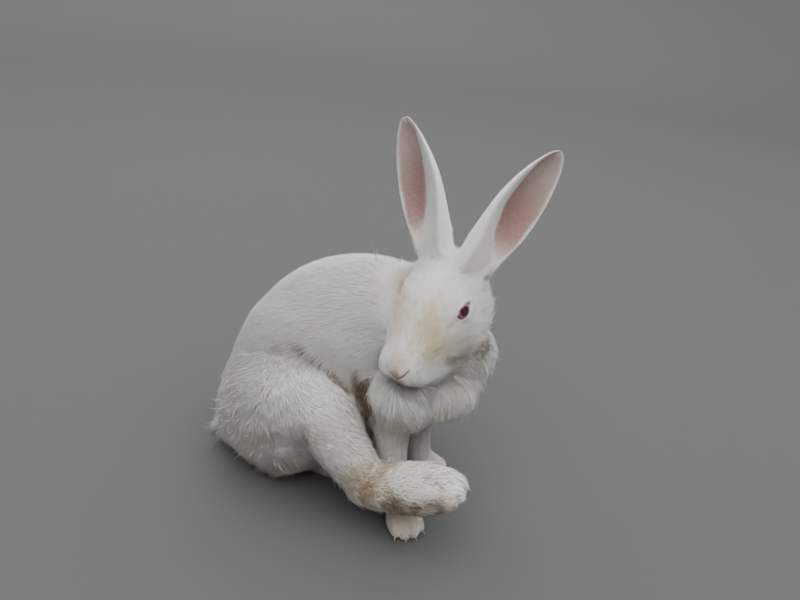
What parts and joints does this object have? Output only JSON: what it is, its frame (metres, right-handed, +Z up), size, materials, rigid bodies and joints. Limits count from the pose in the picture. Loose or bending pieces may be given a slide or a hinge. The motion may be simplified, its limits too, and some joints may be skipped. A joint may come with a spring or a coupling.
{
  "type": "white rabbit",
  "caption": "Life-size sitting white rabbit with upright ears and red eyes, its head turned and one hind foot raised.",
  "frame": {"origin": "on the floor, under the middle of the box round the whole rabbit", "axes": "+Z up; the body faces -Y, with the rabbit's right side to -X; the head is turned towards -X"},
  "size_m": [0.1716, 0.2612, 0.314],
  "materials": {
    "white_coat": "short dense fur, matte, stained yellow and brown in places",
    "ear_skin": "thin pink skin with fine short hair",
    "ruby_eye": "wet, glossy",
    "claw_horn": "translucent horn, satin"
  },
  "bodies": {
    "root": {"trunk": "white_coat", "head": "white_coat", "neck": "white_coat", "tail": "white_coat", "thigh_right": "white_coat", "thigh_left": "white_coat", "shin_right": "white_coat", "shin_left": "white_coat", "foot_right": "white_coat", "foot_left": "white_coat", "foreleg_right": "white_coat", "foreleg_left": "white_coat", "paw_right": "white_coat", "paw_left": "white_coat", "ear_right": "ear_skin", "eye_right": "ruby_eye", "ear_left": "ear_skin", "eye_left": "ruby_eye", "claw_foot_left_1": "claw_horn", "claw_foot_left_2": "claw_horn", "claw_foot_left_3": "claw_horn", "claw_foot_left_4": "claw_horn", "claw_foot_right_1": "claw_horn", "claw_foot_right_2": "claw_horn", "claw_foot_right_3": "claw_horn", "claw_foot_right_4": "claw_horn", "claw_paw_left_1": "claw_horn", "claw_paw_left_2": "claw_horn", "claw_paw_left_3": "claw_horn", "claw_paw_left_4": "claw_horn", "claw_paw_right_1": "claw_horn", "claw_paw_right_2": "claw_horn", "claw_paw_right_3": "claw_horn", "claw_paw_right_4": "claw_horn"}
  },
  "joints": []
}
